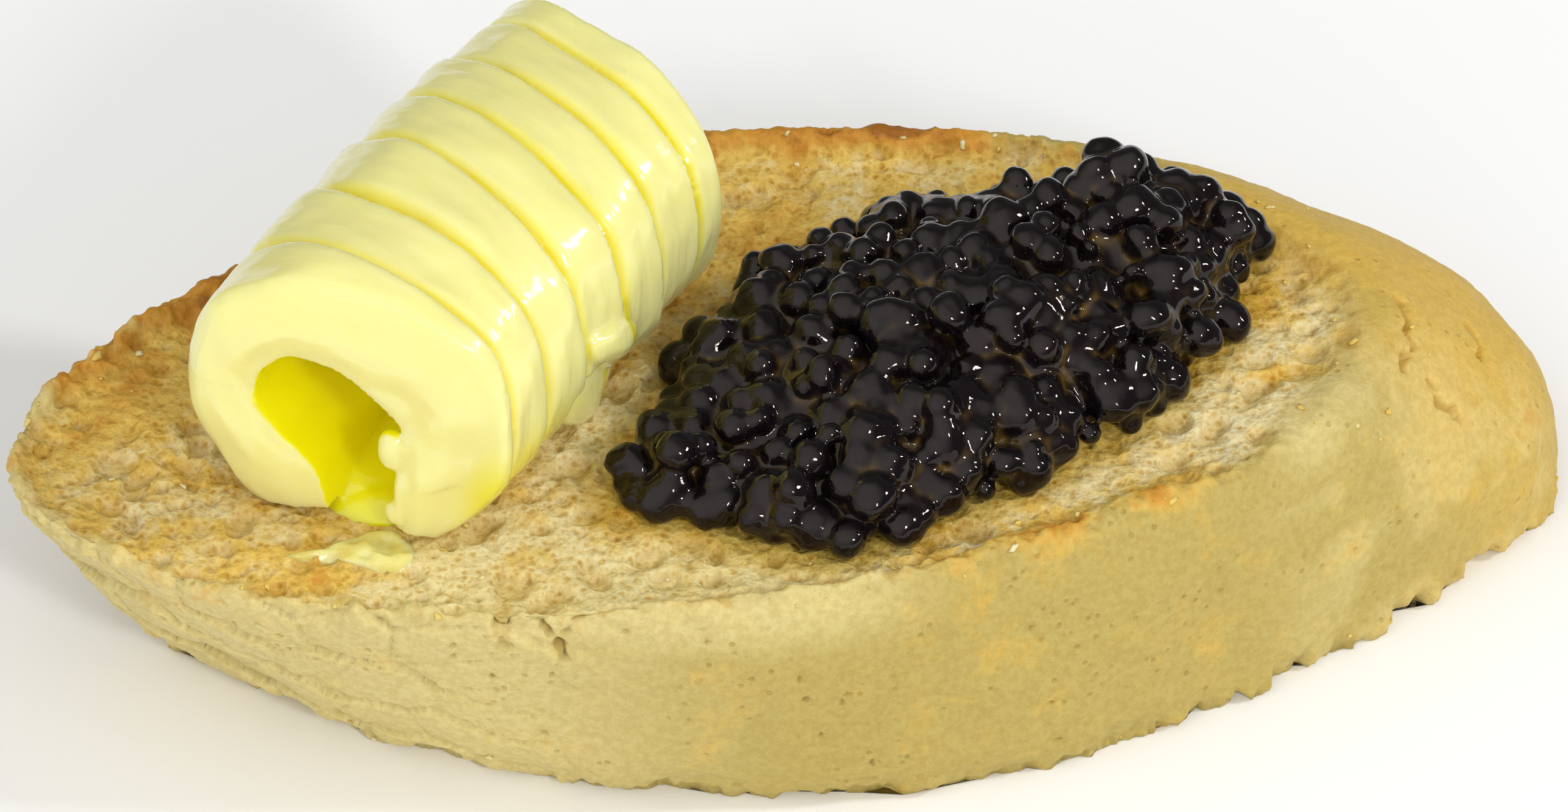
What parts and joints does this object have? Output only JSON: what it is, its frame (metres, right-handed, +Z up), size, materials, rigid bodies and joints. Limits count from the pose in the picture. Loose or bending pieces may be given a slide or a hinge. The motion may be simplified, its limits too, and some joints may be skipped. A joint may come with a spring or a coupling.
{
  "type": "toast slice with butter curl and caviar",
  "caption": "Slanting slice of toasted white bread that lies flat, topped with a ridged, rolled butter curl and a long heap of black caviar.",
  "frame": {"origin": "middle of the object's box, at the height of the lower cut face that it lies on", "axes": "+X along the slice towards its domed crust end, +Z up from the lower cut face to the toppings"},
  "size_m": [0.1038, 0.0484, 0.0369],
  "materials": {
    "toasted_bread": "dry, porous, pale golden with browned edges",
    "butter": "soft, slightly glossy, pale yellow",
    "black_caviar": "wet, glossy black"
  },
  "bodies": {
    "root": {"bread_slice": "toasted_bread", "butter_curl": "butter", "caviar_heap": "black_caviar"}
  },
  "joints": []
}
